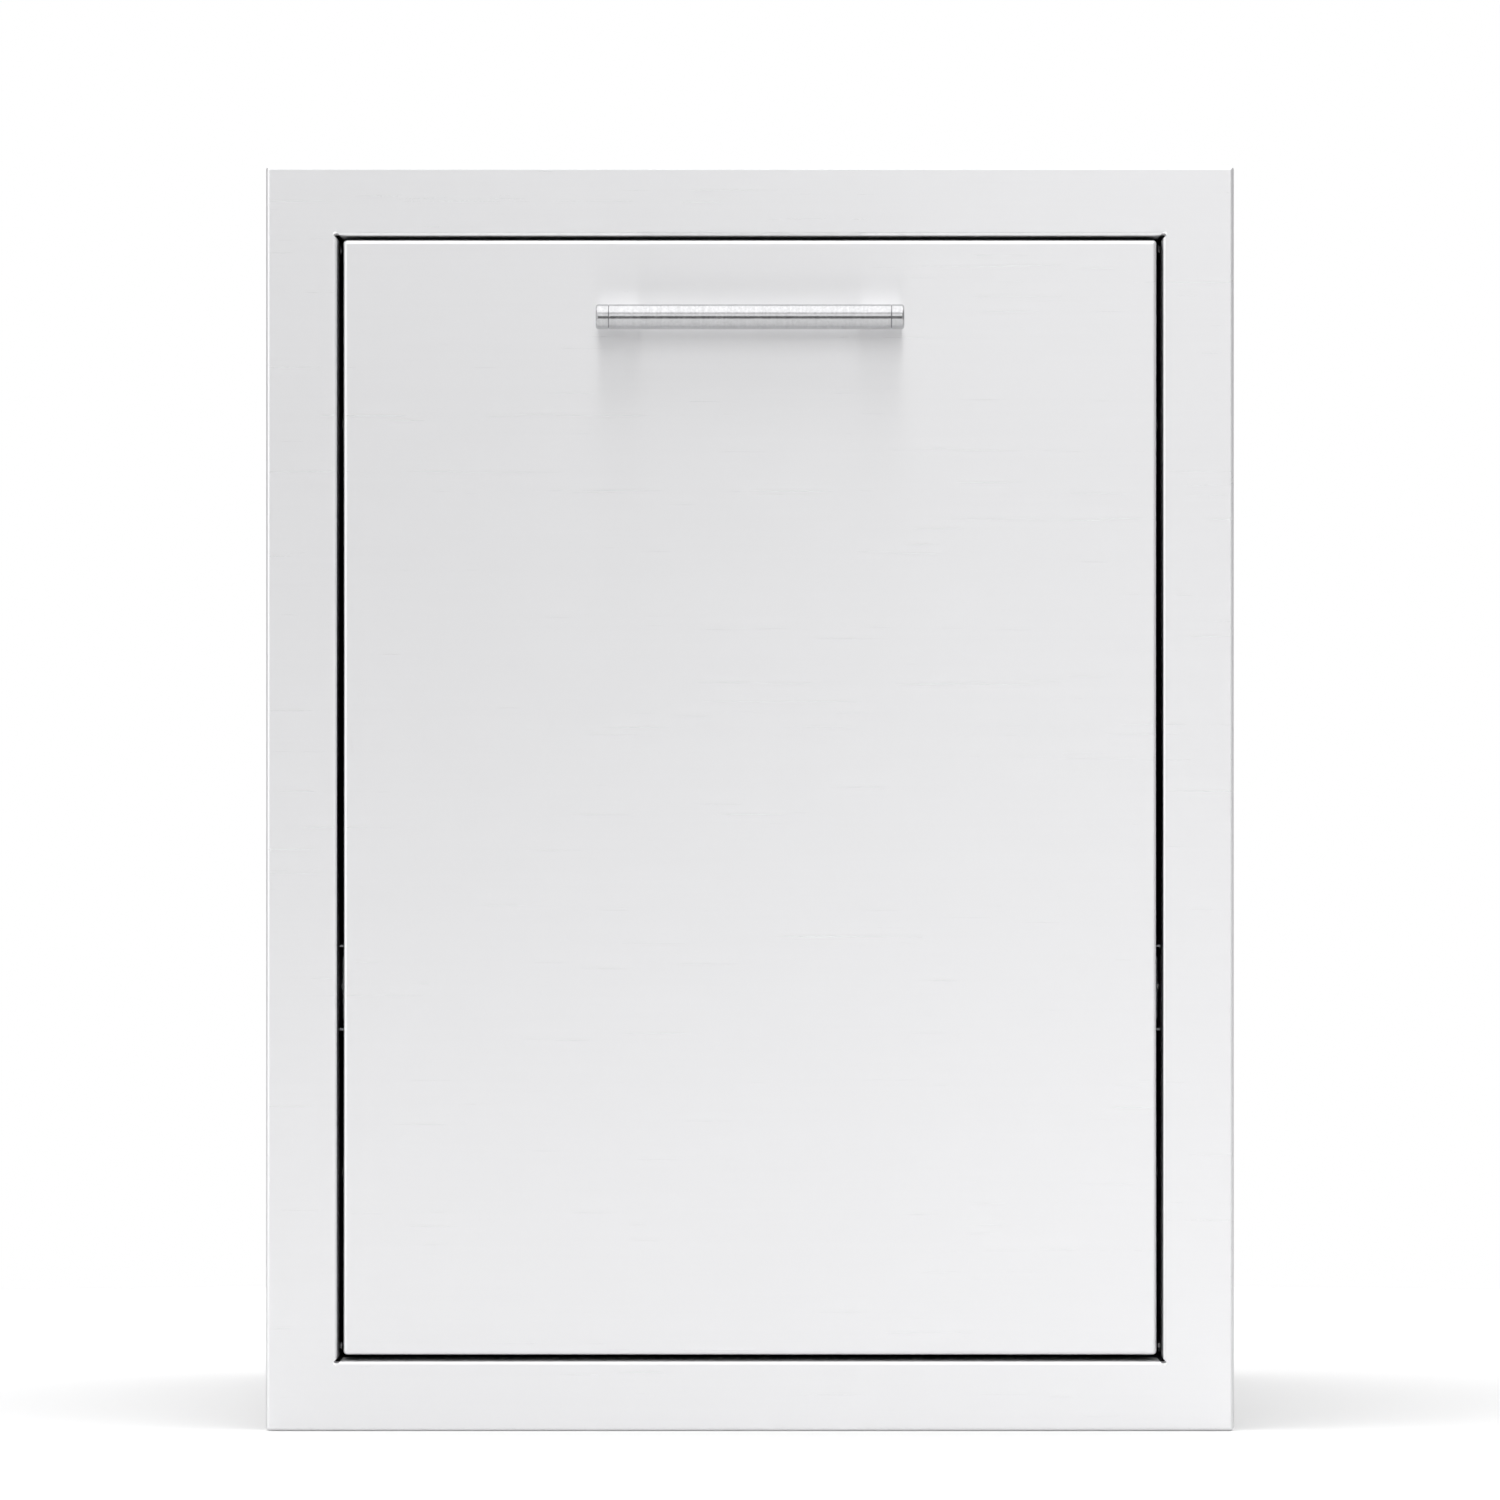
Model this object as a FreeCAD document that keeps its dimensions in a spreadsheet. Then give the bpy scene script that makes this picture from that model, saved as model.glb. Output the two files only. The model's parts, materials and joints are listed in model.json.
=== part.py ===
import FreeCAD, Part
import math
import os
import re
import Sketcher

# A built-in double trash drawer for an outdoor kitchen island, in millimetres.
# X runs to the right, Y runs into the island and Z runs up.
# The origin is the middle of the trim frame, in the plane of the island's face.

SIZES = {
    # trim frame, folded from one sheet
    "frame_width": 508,
    "frame_height": 664,
    "frame_depth": 16,
    "trim_side": 37.5,
    "trim_ends": 36.8,
    "return_depth": 36,
    "sheet_gauge": 1.2,
    "bend_radius": 2.2,
    "relief_width": 2.3,
    "relief_reach": 3.0,
    # housing behind the frame
    "panel_gauge": 1.0,
    "panel_bend": 2.0,
    "panel_setback": 2,
    "housing_flange": 13,
    "mount_hole": 5.2,
    "mount_first": 40,
    "mount_pitch": 60,
    "mount_spread": 400,
    # drawer front
    "gap_side": 3.1,
    "gap_top": 2.1,
    "gap_bottom": 3.3,
    "front_depth": 18,
    "liner_flange": 11,
    "sheet_fit": 0.1,
    # handle
    "bar_diameter": 13,
    "handle_length": 161,
    "cap_length": 6.7,
    "cap_rounding": 1.4,
    "seam_chamfer": 0.35,
    "handle_drop": 41.5,
    "handle_reach": 32,
    "post_width": 22,
    "post_height": 9,
    "post_inset": 0.8,
    "post_rounding": 1.5,
    "bar_fit": 0.05,
    # telescopic slides
    "slide_length": 530,
    "slide_front_gap": 2,
    "slide_back_gap": 6,
    "slide_height": 45,
    "slide_thickness": 12.7,
    "slide_drop": 100,
    "over_travel": 30,
    "rail_gauge": 1.0,
    "rail_bend": 1.7,
    "ball_diameter": 3.5,
    "race_clearance": 0.2,
    "race_flat": 0.2,
    "race_slope": 15,
    "lip_angle": 35,
    "hook_angle": 40,
    "curl_angle": 215,
    "middle_web": 2.8,
    "access_hole": 10,
    "cage_gauge": 0.6,
    "cage_margin": 5,
    "cage_clearance": 0.3,
    "pocket_clearance": 0.1,
    "stop_length": 6,
    "stop_gap": 0.3,
    "stop_height": 26,
    "stop_rounding": 1,
    # drawer box
    "box_rear_room": 6,
    "box_top_drop": 50.1,
    "box_rise": 56.9,
    "box_flange": 12,
    "front_flange": 16,
    "deck_flange": 12.5,
    # bins, hung by their rims
    "rim_margin": 4,
    "rim_gap": 4,
    "rim_side_margin": 9,
    "rim_overhang": 10,
    "rim_skirt": 9,
    "rim_gauge": 2.2,
    "rim_rounding": 1.6,
    "bin_floor_gap": 26.2,
    "bin_wall": 2.4,
    "bin_base": 4,
    "bin_taper": 20,
    "bin_corner": 42,
    "collar_height": 34,
    "collar_step": 1.6,
    "ledge_rounding": 0.6,
    "bin_clearance": 1,
    "foot_width": 12,
    "foot_recess": 1.5,
    "foot_rounding": 5,
    # fasteners
    "rivet_diameter": 4,
    "rivet_head": 7,
    "rivet_head_height": 1.3,
    "rivet_edge_share": 0.35,
    "rivet_bore": 2.2,
    "rivet_bore_depth": 0.9,
    "rivet_tail": 5.4,
    "rivet_tail_height": 1.4,
    "rivet_inset": 45,
    "hole_fit": 0.05,
    "screw_diameter": 4,
    "screw_head": 7.6,
    "screw_head_height": 1.4,
    "screw_crown_share": 0.8,
    "screw_edge_share": 0.5,
    "recess_reach_share": 0.55,
    "recess_width_share": 0.14,
    "recess_depth_share": 0.6,
    "screw_inset": 35,
    "nut_across_flats": 7,
    "nut_height": 3.2,
    "screw_overhang": 0.8,
    "handle_screw": 5,
    "handle_screw_head": 9,
    "handle_screw_head_height": 3.2,
    "handle_screw_grip": 14,
    "clinch_diameter": 9,
    "front_screw_inset": 60,
    "plug_hole": 11,
    "plug_head": 13.4,
    "plug_head_height": 1.2,
    "plug_depth": 4,
    "plug_wall": 1.2,
}

# Places that follow from the sizes, in the words used by the sub-parts below.
PLACES = {
    "half_opening": "frame_width / 2 - trim_side",
    "half_opening_height": "frame_height / 2 - trim_ends",
    "face_y": "-frame_depth",
    "return_end": "return_depth - frame_depth",
    "wall_inner": "half_opening + sheet_gauge",
    "wall_outer": "wall_inner + panel_gauge",
    "shell_half": "half_opening_height + sheet_gauge",
    "wall_half": "shell_half - panel_bend",
    "shell_rivet_z": "shell_half + panel_gauge - housing_flange / 2",
    "back_flange_y": "housing_depth - housing_flange / 2",
    "front_half": "half_opening - gap_side",
    "front_top": "half_opening_height - gap_top",
    "front_bottom": "gap_bottom - half_opening_height",
    "front_back": "front_depth - frame_depth",
    "bar_y": "face_y - handle_reach",
    "bar_z": "front_top - handle_drop",
    "bar_end": "handle_length / 2 - cap_length",
    "post_x": "handle_length / 2 - post_inset - post_width / 2",
    "slide_start": "return_end + slide_front_gap",
    "slide_end": "slide_start + slide_length",
    "slide_travel": "slide_length + over_travel",
    "housing_depth": "slide_end + slide_back_gap + housing_flange",
    "moving_length": "slide_length - stop_length - stop_gap",
    "moving_end": "slide_start + moving_length",
    "slide_z": "-slide_drop",
    "ball_radius": "ball_diameter / 2",
    "race_inside": "ball_radius + race_clearance",
    "race_outside": "race_inside + rail_gauge",
    "outer_ball_u": "middle_web + rail_bend + race_flat",
    "outer_ball_w": "slide_height / 2 - race_outside",
    "inner_ball_u": "outer_ball_u + (race_inside + race_outside) * cos(race_slope)",
    "inner_ball_w": "outer_ball_w - (race_inside + race_outside) * sin(race_slope)",
    "cage_length": "moving_length - slide_travel / 2 - 2 * cage_margin",
    "cage_start": "slide_start + (moving_length - cage_length) / 2",
    "cage_end": "cage_start + cage_length",
    "box_half": "wall_inner - slide_thickness",
    "box_inner": "box_half - panel_gauge",
    "box_top": "front_top - box_top_drop",
    "box_bottom": "front_bottom + box_rise",
    "box_end": "slide_end - box_rear_room",
    "box_depth": "box_end - front_back",
    "floor_top": "box_bottom + 2 * panel_gauge",
    "deck_top": "box_top + sheet_gauge",
    "rim_half_x": "box_half - rim_side_margin",
    "rim_depth": "(box_depth - 2 * rim_margin - rim_gap) / 2",
    "front_bin_y": "front_back + rim_margin + rim_depth / 2",
    "rear_bin_y": "front_bin_y + rim_depth + rim_gap",
    "rim_top": "deck_top + rim_skirt",
    "bin_bottom": "floor_top + bin_floor_gap",
    "bin_half_x": "rim_half_x - rim_overhang",
    "bin_half_y": "rim_depth / 2 - rim_overhang",
    "flange_screw_x": "box_inner - front_flange / 2",
}

doc = FreeCAD.newDocument("TrashDrawer")
sheet = doc.addObject("Spreadsheet::Sheet", "Sizes")
for row, (alias, size) in enumerate(SIZES.items(), 1):
    sheet.set(f"A{row}", alias)
    sheet.set(f"B{row}", str(size))
    sheet.setAlias(f"B{row}", alias)
doc.recompute()


def bound(text):
    """Writes an expression of named sizes and places in terms of the sheet's cells."""
    def cell(match):
        word = match.group(0)
        if word in PLACES:
            return f"({bound(PLACES[word])})"
        return f"Sizes.{word}" if word in SIZES else word
    return re.sub(r"[a-z_]+", cell, str(text))


def number(text):
    """The present value of an expression."""
    return float(sheet.evalExpression(bound(text)))


def new_body(label):
    return doc.addObject("PartDesign::Body", label)


# The way each origin plane faces, as the sign of the coordinate that it holds fixed.
FACING = {"XY_Plane": 1, "XZ_Plane": -1, "YZ_Plane": 1}


def new_sketch(body, plane, level):
    """A sketch on one of the body's origin planes, moved to a level along the third axis."""
    sketch = body.newObject("Sketcher::SketchObject", "outline")
    origin_plane = [item for item in body.Origin.OriginFeatures if item.Role == plane][0]
    sketch.AttachmentSupport = [(origin_plane, "")]
    sketch.MapMode = "FlatFace"
    sketch.setExpression("AttachmentOffset.Base.z", bound(f"{FACING[plane]} * ({level})"))
    return sketch


def pin(sketch, kind, geometry, point, text):
    """Fixes one coordinate of a point to an expression."""
    index = sketch.addConstraint(Sketcher.Constraint(kind, geometry, point, number(text)))
    sketch.setExpression(f"Constraints[{index}]", bound(text))


def arc_between(start, end, radius, turn):
    """A circular arc of under a half circle. turn is 1 to the left and -1 to the right."""
    chord = end - start
    rise = math.sqrt(max(radius ** 2 - (chord.Length / 2) ** 2, 0))
    left = FreeCAD.Vector(-chord.y, chord.x, 0).normalize()
    centre = (start + end) / 2 + left * rise * turn
    first, last = (start, end) if turn > 0 else (end, start)
    angles = [math.atan2(point.y - centre.y, point.x - centre.x) for point in (first, last)]
    if angles[1] < angles[0]:
        angles[1] += 2 * math.pi
    circle = Part.Circle(centre, FreeCAD.Vector(0, 0, 1), radius)
    return Part.ArcOfCircle(circle, angles[0], angles[1])


def add_loop(sketch, corners):
    """Draws a closed loop. A corner is (x, y), or (x, y, radius, turn) where an arc leaves it."""
    points = [FreeCAD.Vector(number(corner[0]), number(corner[1]), 0) for corner in corners]
    base = sketch.GeometryCount
    count = len(corners)
    leaving = []
    arriving = []
    for index, corner in enumerate(corners):
        start = points[index]
        end = points[(index + 1) % count]
        turn = corner[3] if len(corner) > 2 else 1
        if len(corner) > 2:
            sketch.addGeometry(arc_between(start, end, number(corner[2]), turn))
        else:
            sketch.addGeometry(Part.LineSegment(start, end))
        leaving.append(1 if turn > 0 else 2)
        arriving.append(2 if turn > 0 else 1)
    for index, corner in enumerate(corners):
        following = (index + 1) % count
        sketch.addConstraint(Sketcher.Constraint(
            "Coincident", base + index, arriving[index], base + following, leaving[following]))
        pin(sketch, "DistanceX", base + index, leaving[index], corner[0])
        pin(sketch, "DistanceY", base + index, leaving[index], corner[1])
        if len(corner) > 2:
            limit = sketch.addConstraint(Sketcher.Constraint("Radius", base + index, number(corner[2])))
            sketch.setExpression(f"Constraints[{limit}]", bound(corner[2]))


def add_circles(sketch, centres, diameter):
    for across, up in centres:
        centre = FreeCAD.Vector(number(across), number(up), 0)
        radius = f"({diameter}) / 2"
        circle = Part.Circle(centre, FreeCAD.Vector(0, 0, 1), number(radius))
        index = sketch.addGeometry(circle)
        pin(sketch, "DistanceX", index, 3, across)
        pin(sketch, "DistanceY", index, 3, up)
        limit = sketch.addConstraint(Sketcher.Constraint("Radius", index, number(radius)))
        sketch.setExpression(f"Constraints[{limit}]", bound(radius))


def rectangle(left, right, low, high):
    return [(left, low), (right, low), (right, high), (left, high)]


def frame_rectangle(half_width, half_height):
    return rectangle(f"-({half_width})", half_width, f"-({half_height})", half_height)


def rounded_rectangle(half_x, half_y, radius, centre_y="0"):
    """A rectangle about x = 0 with round corners, drawn to the left."""
    left, right = f"-({half_x})", half_x
    low, high = f"{centre_y} - ({half_y})", f"{centre_y} + ({half_y})"
    return [
        (f"{left} + {radius}", low),
        (f"{right} - ({radius})", low, radius, 1),
        (right, f"{low} + {radius}"),
        (right, f"{high} - ({radius})", radius, 1),
        (f"{right} - ({radius})", high),
        (f"{left} + {radius}", high, radius, 1),
        (left, f"{high} - ({radius})"),
        (left, f"{low} + {radius}", radius, 1),
    ]


def folded_strip(path, gauge, bend):
    """The section of a folded sheet. The path follows its outer face and turns left at each fold."""
    points = [(number(across), number(up)) for across, up in path]
    ways = []
    for start, end in zip(points, points[1:]):
        length = math.hypot(end[0] - start[0], end[1] - start[1])
        ways.append((round((end[0] - start[0]) / length), round((end[1] - start[1]) / length)))

    def moved(point, way, distance):
        return (f"{point[0]} + {way[0]} * ({distance})", f"{point[1]} + {way[1]} * ({distance})")

    inward = [(-way[1], way[0]) for way in ways]
    outside = [path[0]]
    inside = [moved(path[0], inward[0], gauge)]
    for index in range(1, len(path) - 1):
        fold_in = moved(path[index], ways[index - 1], f"-({bend})")
        fold_out = moved(path[index], ways[index], bend)
        outside.append((*fold_in, bend, 1))
        outside.append(fold_out)
        inside.append(moved(fold_in, inward[index - 1], gauge))
        inside.append((*moved(fold_out, inward[index], gauge), f"{bend} - {gauge}", -1))
    outside.append(path[-1])
    inside.append(moved(path[-1], inward[-1], gauge))
    return outside + inside[::-1]


def finish(feature):
    doc.recompute()
    if feature.Shape.isNull() or not feature.Shape.isValid():
        raise RuntimeError(f"{feature.Label} failed")
    return feature


def add_pad(body, plane, start, end, *loops, circles=(), diameter=None):
    """Fills the loops from one level to another."""
    sketch = new_sketch(body, plane, start)
    for loop in loops:
        add_loop(sketch, loop)
    add_circles(sketch, circles, diameter)
    forward = number(end) > number(start)
    pad = body.newObject("PartDesign::Pad", "fill")
    pad.Profile = sketch
    pad.setExpression("Length", bound(f"{end} - ({start})" if forward else f"{start} - ({end})"))
    pad.Reversed = forward != (FACING[plane] > 0)
    return finish(pad)


def add_cut(body, plane, start, end, *loops, circles=(), diameter=None):
    """Cuts the loops and circles away from one level to another."""
    before = body.Shape.Volume
    sketch = new_sketch(body, plane, start)
    for loop in loops:
        add_loop(sketch, loop)
    add_circles(sketch, circles, diameter)
    forward = number(end) > number(start)
    cut = body.newObject("PartDesign::Pocket", "cut")
    cut.Profile = sketch
    cut.setExpression("Length", bound(f"{end} - ({start})" if forward else f"{start} - ({end})"))
    cut.Reversed = forward == (FACING[plane] > 0)
    finish(cut)
    if body.Shape.Volume >= before:
        raise RuntimeError(f"a cut in {body.Label} removed nothing")
    return cut


def edges_where(body, test):
    return [f"Edge{index}" for index, edge in enumerate(body.Shape.Edges, 1) if test(edge.BoundBox)]


def add_rounding(body, radius, test, kind="PartDesign::Fillet", size="Radius"):
    base = body.Tip
    rounding = body.newObject(kind, "rounding")
    rounding.Base = (base, edges_where(body, test))
    rounding.setExpression(size, bound(radius))
    return finish(rounding)


NEAR = 1e-4


def level_y(box, text):
    value = number(text)
    return abs(box.YMin - value) < NEAR and abs(box.YMax - value) < NEAR


def level_z(box, text):
    value = number(text)
    return abs(box.ZMin - value) < NEAR and abs(box.ZMax - value) < NEAR


def runs_along_y(box):
    return box.XLength < NEAR and box.ZLength < NEAR


def mirrored(label, source):
    """The other-handed twin of a sub-part, on the far side of the middle plane."""
    twin = doc.addObject("Part::Mirroring", label)
    twin.Source = source
    twin.Normal = FreeCAD.Vector(1, 0, 0)
    doc.recompute()
    return twin


def make_pan(label, half_width, low, high, closed, mouth, gauge, bend):
    """A shallow folded pan with round edges, closed at one y level and open at the other."""
    body = new_body(label)
    add_pad(body, "XZ_Plane", closed, mouth, rectangle(f"-({half_width})", half_width, low, high))
    add_rounding(body, bend, lambda box: runs_along_y(box) or level_y(box, closed))
    inner = f"{half_width} - {gauge}"
    deep = f"{closed} + {gauge}" if number(mouth) > number(closed) else f"{closed} - {gauge}"
    hollow = rectangle(f"-({inner})", inner, f"{low} + {gauge}", f"{high} - ({gauge})")
    add_cut(body, "XZ_Plane", mouth, deep, hollow)
    half = number(inner)

    def inside_fold(box):
        wall = runs_along_y(box) and abs(abs(box.XMin) - half) < NEAR
        return wall or level_y(box, deep)

    add_rounding(body, f"{bend} - {gauge}", inside_fold)
    return body


def spread(low, high, inset, count):
    """Even places between two ends, the outer two set in by the inset."""
    step = f"(({high}) - ({low}) - 2 * ({inset})) / {count - 1}"
    return [f"({low}) + {inset} + {index} * {step}" for index in range(count)]


def make_face_frame():
    body = new_body("face_frame")
    outer = frame_rectangle("frame_width / 2", "frame_height / 2")
    opening = frame_rectangle("half_opening", "half_opening_height")
    behind_opening = frame_rectangle("wall_inner", "shell_half")
    add_pad(body, "XZ_Plane", "face_y", "0", outer, opening)
    rim = number("frame_width / 2")
    add_rounding(body, "bend_radius", lambda box: level_y(box, "face_y")
                 or (runs_along_y(box) and abs(abs(box.XMin) - rim) < NEAR))
    inner_outer = frame_rectangle("frame_width / 2 - sheet_gauge", "frame_height / 2 - sheet_gauge")
    add_cut(body, "XZ_Plane", "0", "face_y + sheet_gauge", inner_outer, behind_opening)
    add_rounding(body, "bend_radius - sheet_gauge", lambda box: level_y(box, "face_y + sheet_gauge")
                 or (runs_along_y(box) and abs(abs(box.XMin) - number("frame_width / 2 - sheet_gauge")) < NEAR))
    add_pad(body, "XZ_Plane", "-bend_radius", "return_end", opening, behind_opening)
    reliefs = [relief_slot(across, up) for across in (-1, 1) for up in (-1, 1)]
    add_cut(body, "XZ_Plane", "face_y", "return_end", *reliefs)
    return body


def relief_slot(across, up):
    """A round-ended slot out of one corner of the opening, at 45 degrees."""
    def place(along, aside):
        diagonal = "sqrt(2)"
        x = f"{across} * (half_opening + (({along}) - ({aside})) / {diagonal})"
        z = f"{up} * (half_opening_height + (({along}) + ({aside})) / {diagonal})"
        return (x, z)

    half = "relief_width / 2"
    turn = -across * up
    return [
        place("-relief_reach", half),
        (*place(f"relief_reach - {half}", half), half, turn),
        (*place("relief_reach", "0"), half, turn),
        place(f"relief_reach - {half}", f"-{half}"),
        place("-relief_reach", f"-{half}"),
    ]


RIVET_COUNT = 3
SCREW_COUNT = 4
FRONT_SCREW_COUNT = 3
BALL_COUNT = 6

rivet_hole = "rivet_diameter + 2 * hole_fit"
screw_hole = "screw_diameter + 2 * hole_fit"
shell_rivet_y = spread("panel_setback", "housing_depth", "rivet_inset", RIVET_COUNT)
back_rivet_z = spread("-wall_half", "wall_half", "2 * rivet_inset", RIVET_COUNT)
back_rivet_x = spread("-wall_inner", "wall_inner", "2 * rivet_inset", RIVET_COUNT)
rail_screw_y = spread("slide_start", "moving_end", "screw_inset", SCREW_COUNT)
box_rivet_y = spread("front_back", "box_end", "rivet_inset", RIVET_COUNT)
box_rivet_z = spread("box_bottom", "box_top", "rivet_inset", RIVET_COUNT)
front_screw_z = spread("box_bottom", "box_top", "front_screw_inset", FRONT_SCREW_COUNT)
deck_rivet_z = "deck_top - deck_flange / 2"
floor_rivet_x = "box_inner - box_flange / 2"
back_rivet_y = "box_end - box_flange / 2"
MOUNT_Y = ("mount_first", "mount_first + mount_pitch")
MOUNT_Z = ("-mount_spread / 2", "mount_spread / 2")


def make_side_panel():
    body = new_body("left_side_panel")
    panel = rectangle("panel_setback", "housing_depth - panel_bend", "-wall_half", "wall_half")
    add_pad(body, "YZ_Plane", "-wall_outer", "-wall_inner", panel)
    rivets = [(y, f"{sign} * (shell_rivet_z)") for y in shell_rivet_y for sign in (-1, 1)]
    rivets += [("back_flange_y", z) for z in back_rivet_z]
    add_cut(body, "YZ_Plane", "-wall_inner", "-wall_outer", circles=rivets, diameter=rivet_hole)
    screws = [(y, "slide_z") for y in rail_screw_y]
    add_cut(body, "YZ_Plane", "-wall_inner", "-wall_outer", circles=screws, diameter=screw_hole)
    mounts = [(y, z) for y in MOUNT_Y for z in MOUNT_Z]
    add_cut(body, "YZ_Plane", "-wall_inner", "-wall_outer", circles=mounts, diameter="mount_hole")
    return body


def make_cover(label, up):
    """The top or bottom of the housing: a channel whose flanges lap the side panels."""
    body = new_body(label)
    outer = "wall_outer + panel_gauge"
    level = f"{up} * (shell_half + panel_gauge)"
    lip = f"{up} * (shell_half + panel_gauge - housing_flange)"
    path = [(outer, lip), (outer, level), (f"-({outer})", level), (f"-({outer})", lip)]
    strip = folded_strip(path if up > 0 else path[::-1], "panel_gauge", "panel_bend")
    add_pad(body, "XZ_Plane", "panel_setback", "housing_depth", strip)
    sides = [(y, f"{up} * (shell_rivet_z)") for y in shell_rivet_y]
    add_cut(body, "YZ_Plane", f"-({outer})", outer, circles=sides, diameter=rivet_hole)
    backs = [(x, "back_flange_y") for x in back_rivet_x]
    add_cut(body, "XY_Plane", f"{up} * shell_half", level, circles=backs, diameter=rivet_hole)
    return body


def make_back_panel():
    body = make_pan("back_panel", "wall_inner", "-shell_half", "shell_half", "housing_depth",
                    "housing_depth - housing_flange", "panel_gauge", "panel_bend")
    sides = [("back_flange_y", z) for z in back_rivet_z]
    add_cut(body, "YZ_Plane", "-wall_inner", "wall_inner", circles=sides, diameter=rivet_hole)
    covers = [(x, "back_flange_y") for x in back_rivet_x]
    add_cut(body, "XY_Plane", "-shell_half", "shell_half", circles=covers, diameter=rivet_hole)
    return body


def make_front_skin():
    body = make_pan("drawer_front_skin", "front_half", "front_bottom", "front_top", "face_y",
                    "front_back", "sheet_gauge", "bend_radius")
    holes = [(f"{side} * (post_x)", "bar_z") for side in (-1, 1)]
    add_cut(body, "XZ_Plane", "face_y + sheet_gauge", "face_y", circles=holes,
            diameter="handle_screw + 2 * hole_fit")
    return body


def make_front_liner():
    inset = "sheet_gauge + sheet_fit"
    body = make_pan("drawer_front_liner", f"front_half - ({inset})", f"front_bottom + {inset}",
                    f"front_top - ({inset})", "front_back", "front_back - liner_flange",
                    "panel_gauge", "panel_bend")
    holes = [(f"{side} * (flange_screw_x)", z) for side in (-1, 1) for z in front_screw_z]
    add_cut(body, "XZ_Plane", "front_back - panel_gauge", "front_back", circles=holes, diameter=screw_hole)
    access = [(f"{side} * (post_x)", "bar_z") for side in (-1, 1)]
    add_cut(body, "XZ_Plane", "front_back - panel_gauge", "front_back", circles=access, diameter="plug_hole")
    return body


def make_handle_bar():
    body = new_body("handle_bar")
    add_pad(body, "YZ_Plane", "-(bar_end)", "bar_end", circles=[("bar_y", "bar_z")], diameter="bar_diameter")
    add_rounding(body, "seam_chamfer", lambda box: box.XLength < NEAR, "PartDesign::Chamfer", "Size")
    return body


def make_handle_cap():
    body = new_body("handle_cap_left")
    add_pad(body, "YZ_Plane", "-(bar_end)", "-handle_length / 2", circles=[("bar_y", "bar_z")],
            diameter="bar_diameter")
    tip = number("-handle_length / 2")
    seam = number("-(bar_end)")
    add_rounding(body, "cap_rounding", lambda box: box.XMax < tip + NEAR)
    add_rounding(body, "seam_chamfer", lambda box: box.XMin > seam - NEAR, "PartDesign::Chamfer", "Size")
    return body


def make_handle_post():
    """A block from the drawer front to the bar, hollowed to sit against the bar."""
    body = new_body("handle_post_left")
    low, high = "bar_z - post_height / 2", "bar_z + post_height / 2"
    left, right = "-(post_x) - post_width / 2", "-(post_x) + post_width / 2"
    add_pad(body, "XZ_Plane", "face_y", "bar_y", rectangle(left, right, low, high))
    add_rounding(body, "post_rounding", runs_along_y)
    add_cut(body, "YZ_Plane", left, right, circles=[("bar_y", "bar_z")], diameter="bar_diameter + 2 * bar_fit")
    add_cut(body, "XZ_Plane", "face_y", "face_y - handle_screw_grip", circles=[("-(post_x)", "bar_z")],
            diameter="handle_screw + 2 * hole_fit")
    return body


def from_wall(depth):
    """The x of a point of the left slide, measured in from the side panel."""
    return f"{depth} - (wall_inner)"


def section_loop(upper_half):
    """A rail's whole section from its upper half, which runs from the web's one face to its other."""
    def place(corner, sign):
        return (from_wall(corner[0]), f"slide_z + {sign} * ({corner[1]})")

    loop = []
    for corner in upper_half:
        loop.append((*place(corner, 1), *corner[2:]))
    reverse = upper_half[::-1]
    for index, corner in enumerate(reverse):
        bend = ()
        if index + 1 < len(reverse) and len(reverse[index + 1]) > 2:
            bend = reverse[index + 1][2:]
        loop.append((*place(corner, -1), *bend))
    return loop


def around(centre_u, centre_w, radius, angle):
    return (f"{centre_u} + ({radius}) * cos({angle})", f"{centre_w} + ({radius}) * sin({angle})")


def outer_rail_section():
    """A channel on the side panel, with a lip curled over each row of balls."""
    race = ("outer_ball_u", "outer_ball_w")
    fold = "slide_height / 2 - rail_bend"
    top = "slide_height / 2"
    under = "slide_height / 2 - rail_gauge"
    return [
        ("0", fold, "rail_bend", -1),
        ("rail_bend", top),
        ("outer_ball_u", top, "race_outside", -1),
        around(*race, "race_outside", "lip_angle"),
        (*around(*race, "race_inside", "lip_angle"), "race_inside", 1),
        ("outer_ball_u", under),
        ("rail_bend", under, "rail_bend - rail_gauge", 1),
        ("rail_gauge", fold),
    ]


def middle_rail_section():
    """The web bends out under the outer balls and hooks over the inner ones."""
    outer = ("outer_ball_u", "outer_ball_w")
    inner = ("inner_ball_u", "inner_ball_w")
    top = "outer_ball_w - race_inside"
    under = "outer_ball_w - race_outside"
    fold = f"{top} - rail_bend"
    return [
        ("middle_web", fold, "rail_bend", -1),
        ("middle_web + rail_bend", top),
        ("outer_ball_u", top, "race_inside", 1),
        (*around(*outer, "race_inside", "-race_slope"), "race_outside", -1),
        around(*inner, "race_outside", "hook_angle"),
        (*around(*inner, "race_inside", "hook_angle"), "race_inside", 1),
        (*around(*inner, "race_inside", "180 - race_slope"), "race_outside", -1),
        ("outer_ball_u", under),
        ("middle_web + rail_bend", under, "rail_bend - rail_gauge", 1),
        ("middle_web + rail_gauge", fold),
    ]


def inner_rail_section():
    """A channel on the drawer, with a curled edge under each inner row of balls."""
    race = ("inner_ball_u", "inner_ball_w")
    top = "inner_ball_w - race_inside"
    under = "inner_ball_w - race_outside"
    fold = f"{top} - rail_bend"
    back = "slide_thickness"
    return [
        (f"{back} - rail_gauge", fold, "rail_bend - rail_gauge", 1),
        (f"{back} - rail_bend", under),
        ("inner_ball_u", under, "race_outside", -1),
        around(*race, "race_outside", "curl_angle"),
        (*around(*race, "race_inside", "curl_angle"), "race_inside", 1),
        ("inner_ball_u", top),
        (f"{back} - rail_bend", top, "rail_bend", -1),
        (back, fold),
    ]


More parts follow.
